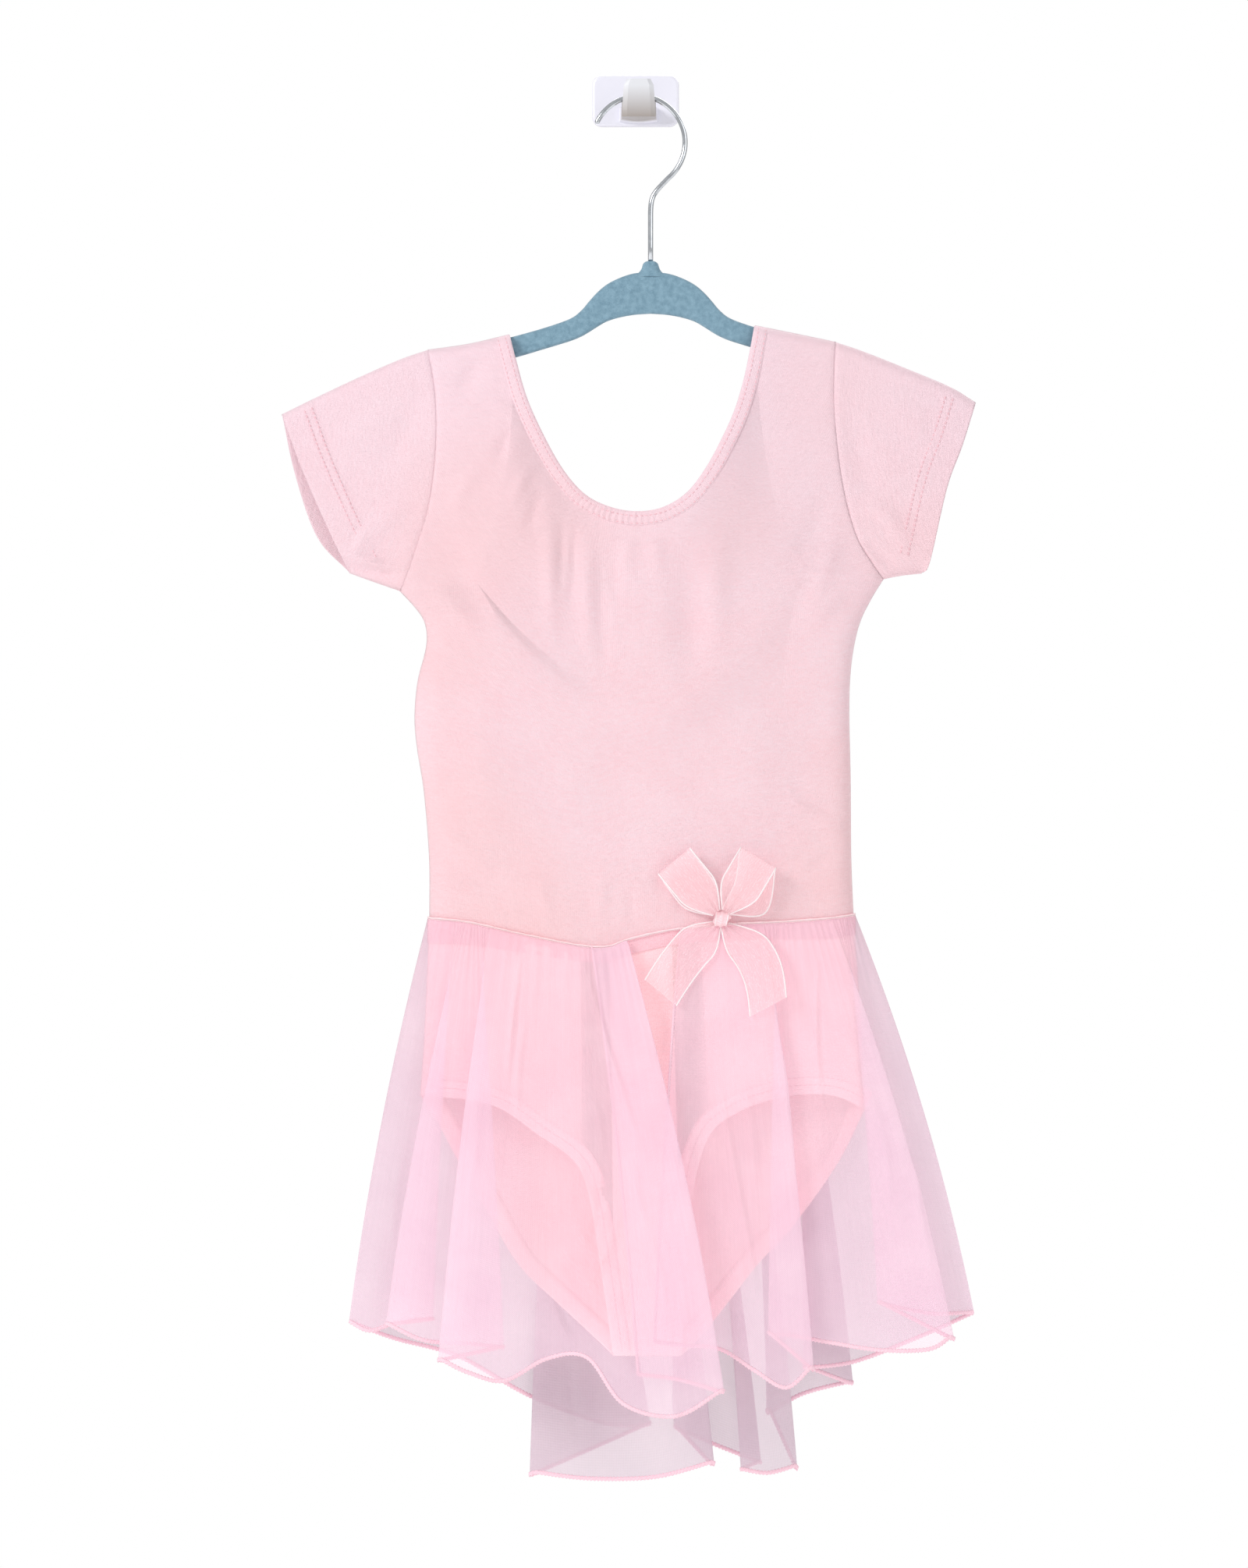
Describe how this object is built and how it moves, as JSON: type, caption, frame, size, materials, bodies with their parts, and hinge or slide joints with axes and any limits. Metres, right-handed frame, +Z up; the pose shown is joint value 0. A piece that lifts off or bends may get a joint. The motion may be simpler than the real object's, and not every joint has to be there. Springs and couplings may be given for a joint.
{
  "type": "child's ballet dress on a hanger and wall hook",
  "caption": "Cap-sleeved knit leotard dress with a draped wrap-over chiffon skirt and ribbon bow, flat on a hanger over a wall hook.",
  "frame": {"origin": "middle of the wall hook's back face, where it meets the wall", "axes": "+Z up, +Y into the wall, -Y out of the wall towards the viewer, +X to the viewer's right"},
  "size_m": [0.4287, 0.0852, 0.8718],
  "materials": {
    "knit": "matt cotton and elastane jersey, pale pink",
    "chiffon": "sheer polyester chiffon, pale pink",
    "ribbon": "sheer organza ribbon with satin edges",
    "flock": "flocked plastic, grey-blue",
    "chrome": "bright plated wire",
    "plastic": "white moulded plastic"
  },
  "bodies": {
    "root": {"wall_hook": "plastic", "hanger_hook": "chrome", "hanger_body": "flock", "bodice_front": "knit", "bodice_back": "knit", "sleeve_left": "knit", "sleeve_right": "knit", "brief_front": "knit", "brief_back": "knit", "skirt_over": "chiffon", "skirt_under": "chiffon", "skirt_back": "chiffon", "bow_loop_left": "ribbon", "bow_loop_right": "ribbon", "bow_tail_left": "ribbon", "bow_tail_right": "ribbon", "bow_knot": "ribbon"}
  },
  "joints": []
}
